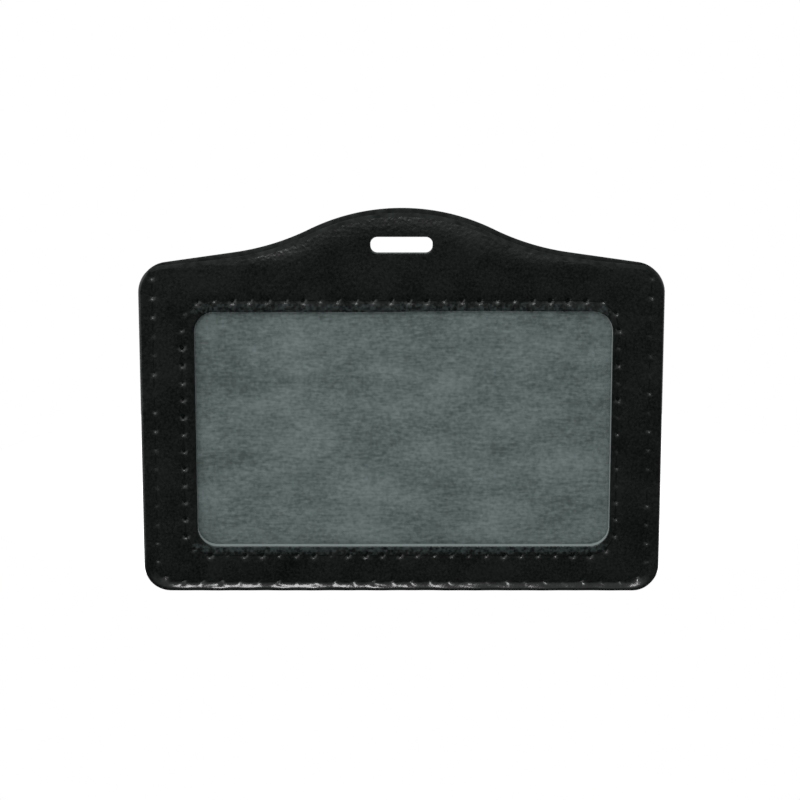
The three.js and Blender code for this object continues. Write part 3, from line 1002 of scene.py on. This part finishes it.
@material("Clear soft PVC film")
def clear_film(tree, surface, place, colours):
    """Soft clear PVC film: see-through, with a smooth but slightly wavy gloss and a faint haze."""
    waves = add(tree, NOISE, {"Vector": place, "Scale": per_mm(22), "Detail": 1})
    bump = add(tree, BUMP, {"Height": waves, "Strength": 0.3, "Distance": 0.4 * MM})
    handling = {"Value": waves, "From Min": 0.3, "From Max": 0.7, "To Min": 0.1, "To Max": 0.22}
    handled = add(tree, RANGE, handling)
    plug(tree, surface, {"Base Color": (*colours.film, 1), "Normal": bump, "Roughness": handled})
    plug(tree, surface, {"IOR": 1.53, "Alpha": 0.14})


@material("Twisted polyester thread")
def sewing_thread(tree, surface, place, colours):
    """Twisted polyester thread: matt black, with a painted highlight that makes its plies just lighter
    where they stand up.
    """
    ply = add(tree, ATTRIBUTE, attribute_name="ply").outputs["Fac"]
    fuzz = add(tree, NOISE, {"Vector": place, "Scale": per_mm(0.3), "Detail": 2})
    lit = add(tree, MATH, [ply, fuzz], operation="MULTIPLY")
    # Painted highlight on the ply crests
    shade = add(tree, RAMP, {"Fac": lit}, ((0.1, colours.thread), (0.6, colours.thread_ply_highlight)))
    plug(tree, surface, {"Base Color": shade, "Roughness": 0.85, "Specular IOR Level": 0.05})


@material("Matt white studio paper")
def studio_paper(tree, surface, place, colours):
    """Matt white paper, which shows white to the camera and keeps the holder's shadow."""
    rays = add(tree, "ShaderNodeLightPath").outputs
    seen = add(tree, MATH, [rays["Is Camera Ray"], rays["Is Transmission Ray"]], operation="MAXIMUM")
    shown = add(tree, MATH, [seen, rays["Is Glossy Ray"]], operation="MAXIMUM")
    away = add(tree, VECTOR_MATH, [place, (0, FLOOR_BACK, CAD_BOX[0][2])], operation="DISTANCE")
    fading = {"From Min": FLOOR_FADE * FLOOR_RADIUS, "From Max": FLOOR_RADIUS, "To Min": FLOOR_GLOW}
    fade = add(tree, RANGE, {"Value": away, **fading})
    glow = add(tree, MATH, [shown, fade], operation="MULTIPLY")
    plug(tree, surface, {"Base Color": (*colours.floor, 1), "Roughness": 0.9, "Specular IOR Level": 0})
    plug(tree, surface, {"Emission Color": WHITE, "Emission Strength": glow})


# Stage


def make_world():
    """A white backdrop behind and above the holder, which its gloss shows too, and a dim room in front."""
    world = bpy.data.worlds.new("Studio")
    world.use_nodes = True
    tree = world.node_tree
    rays = add(tree, "ShaderNodeLightPath").outputs
    direction = add(tree, "ShaderNodeTexCoord").outputs["Generated"]
    behind = add(tree, VECTOR_MATH, [direction, BACKDROP_TILT], operation="DOT_PRODUCT")
    rising = {"Value": behind, "From Min": -0.4, "From Max": 0.05, "To Min": 0.05, "To Max": 0.9}
    backdrop = add(tree, RANGE, rising)
    unlit = add(tree, MIX, {"Factor": rays["Is Glossy Ray"], "A": AMBIENT, "B": backdrop})
    seen = add(tree, MATH, [rays["Is Camera Ray"], rays["Is Transmission Ray"]], operation="MAXIMUM")
    strength = add(tree, MIX, {"Factor": seen, "A": unlit, "B": 1})
    plug(tree, tree.nodes["Background"], {"Color": WHITE, "Strength": strength})
    return world


def aim_along(item, place, direction):
    """Puts a lamp or the camera in its place, looking in a direction."""
    item.location = place
    item.rotation_euler = direction.to_track_quat("-Z", "Y").to_euler()


def add_lamp(name, place, aim, width, power):
    """A square soft light that looks at a point."""
    lamp = bpy.data.lights.new(name, "AREA")
    lamp.shape = "SQUARE"
    lamp.size = width
    lamp.energy = power
    aim_along(show(name, lamp), place, aim - Vector(place))


class BADGE_OT_front_cover(Operator):
    """Makes the front cover, with the window and the lip"""

    bl_idname = "badge_holder.front_cover"
    bl_label = "Front cover"

    def execute(self, context):
        sizes, place = measured()
        cover = make_cover("front_cover", FRONT, True)
        flat, area = cut_size(True)
        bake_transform(cover)
        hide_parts("front_panel", "front_lip", "front_hem")
        return {"FINISHED"}


class BADGE_OT_back_cover(Operator):
    """Makes the plain back cover"""

    bl_idname = "badge_holder.back_cover"
    bl_label = "Back cover"

    def execute(self, context):
        cover = make_cover("back_cover", BACK, False)
        flat, area = cut_size(False)
        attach(cover, "holder")
        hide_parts("back_panel", "back_hem")
        return {"FINISHED"}


class BADGE_OT_window_film(Operator):
    """Makes the clear film behind the window"""

    bl_idname = "badge_holder.window_film"
    bl_label = "Window film"

    def execute(self, context):
        sizes, place = measured()
        outline = evenly(rounded_rectangle(place.film, sizes.film_radius), FILM_GRID)
        thickness = place.film_face - place.film_back

        def levels(points, rim):
            edge = np.maximum(-beyond(points, place.film, sizes.film_radius), 0)
            edge[:rim] = 0
            fold = rounding(edge, thickness / 2)
            middle = place.film_face - sizes.unevenness * (1 + ripples(points * FILM_WAVES))
            return middle - fold, middle - thickness + fold

        def finishes(points):
            return np.full((2, len(points)), SKIN)

        grid = (grid_over(outline, FILM_GRID), GRID_ROOM * FILM_GRID)
        rim = (beside(outline, thickness), RING_ROOM)
        inner = settle([outline], [rim, grid])
        film = make_sheet("window_film_sheet", FRONT, [outline], [outline], inner, inner, levels, finishes)
        film.data.materials.append(clear_film())
        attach(film, "holder")
        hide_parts("window_film")
        return {"FINISHED"}


class BADGE_OT_seams(Operator):
    """Sews the window seam and the edge seam, each with a needle and a bobbin thread"""

    bl_idname = "badge_holder.seams"
    bl_label = "Seams"

    def execute(self, context):
        sizes, place = measured()
        tree = seam_row_nodes()
        edge = evenly(edge_seam_path(sizes, place), sizes.edge_stitch, closed=False)
        window = evenly(window_seam_path(sizes, place), sizes.window_stitch)
        sunk = place.face - sizes.groove - sizes.thread_sink
        rows = (
            ("window_needle_stitches", "window_needle_thread", window, True, sunk, FRONT),
            ("window_bobbin_stitches", "window_bobbin_thread", window, True, -place.film_back, BACK),
            ("edge_needle_stitches", "edge_needle_thread", edge, False, sunk, FRONT),
            ("edge_bobbin_stitches", "edge_bobbin_thread", edge, False, sunk, BACK),
        )
        for name, node, holes, closed, level, side in rows:
            seam = sew(name, tree, holes, closed, level, side, sizes.thread)
            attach(seam, "holder")
            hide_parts(node)
        return {"FINISHED"}


class BADGE_OT_stage(Operator):
    """Sets up the white stage, the lights and the camera"""

    bl_idname = "badge_holder.stage"
    bl_label = "Stage"

    def execute(self, context):
        scene = context.scene
        stage = scene.holder_stage
        aim = Vector((stage.aim_x, 0, stage.aim_z))
        camera = bpy.data.cameras.new("Camera")
        camera.lens = stage.lens
        camera.sensor_width = SENSOR_WIDTH
        camera.clip_start = CLIP_START
        scene.camera = show("Camera", camera)
        away = Vector((0, -math.cos(stage.elevation), math.sin(stage.elevation)))
        aim_along(scene.camera, aim + away * stage.distance, -away)
        paper = bpy.data.meshes.new("floor")
        rim = arc((0, FLOOR_BACK), FLOOR_RADIUS, 0, 2 * math.pi)[:-1]
        ground = CAD_BOX[0][2]
        paper.from_pydata([(x, y, ground) for x, y in rim], [], [range(len(rim))])
        paper.materials.append(studio_paper())
        show("floor", paper)
        add_lamp("Key light", KEY_PLACE, aim, KEY_WIDTH, stage.key_power)
        add_lamp("Side light", SIDE_PLACE, aim, SIDE_WIDTH, stage.side_power)
        scene.world = make_world()
        scene.view_settings.view_transform = "Standard"
        return {"FINISHED"}


class BADGE_PT_holder(Panel):
    """Lists the holder's pieces, sizes and colours"""

    bl_label = "Badge holder"
    bl_idname = "BADGE_PT_holder"
    bl_space_type = "VIEW_3D"
    bl_region_type = "UI"
    bl_category = "Badge holder"

    def draw(self, context):
        scene = context.scene
        for operator in OPERATORS:
            self.layout.operator(operator.bl_idname)
        for group in (scene.holder_sizes, scene.holder_colours, scene.holder_stage):
            box = self.layout.box()
            for name in group.__annotations__:
                box.prop(group, name)


OPERATORS = (
    BADGE_OT_stage,
    BADGE_OT_front_cover,
    BADGE_OT_back_cover,
    BADGE_OT_window_film,
    BADGE_OT_seams,
)
CLASSES = (HolderSizes, HolderColours, HolderStage, *OPERATORS, BADGE_PT_holder)


def register():
    """Adds the classes and their settings to Blender."""
    for kind in CLASSES:
        bpy.utils.register_class(kind)
    bpy.types.Scene.holder_sizes = PointerProperty(type=HolderSizes)
    bpy.types.Scene.holder_colours = PointerProperty(type=HolderColours)
    bpy.types.Scene.holder_stage = PointerProperty(type=HolderStage)


def unregister():
    """Takes the classes and their settings out of Blender."""
    del bpy.types.Scene.holder_stage
    del bpy.types.Scene.holder_colours
    del bpy.types.Scene.holder_sizes
    for kind in reversed(CLASSES):
        bpy.utils.unregister_class(kind)


def main():
    """Builds the stage and every piece."""
    register()
    bpy.ops.badge_holder.stage()
    bpy.ops.badge_holder.front_cover()
    bpy.ops.badge_holder.back_cover()
    bpy.ops.badge_holder.window_film()
    bpy.ops.badge_holder.seams()


if __name__ == "__main__":
    main()
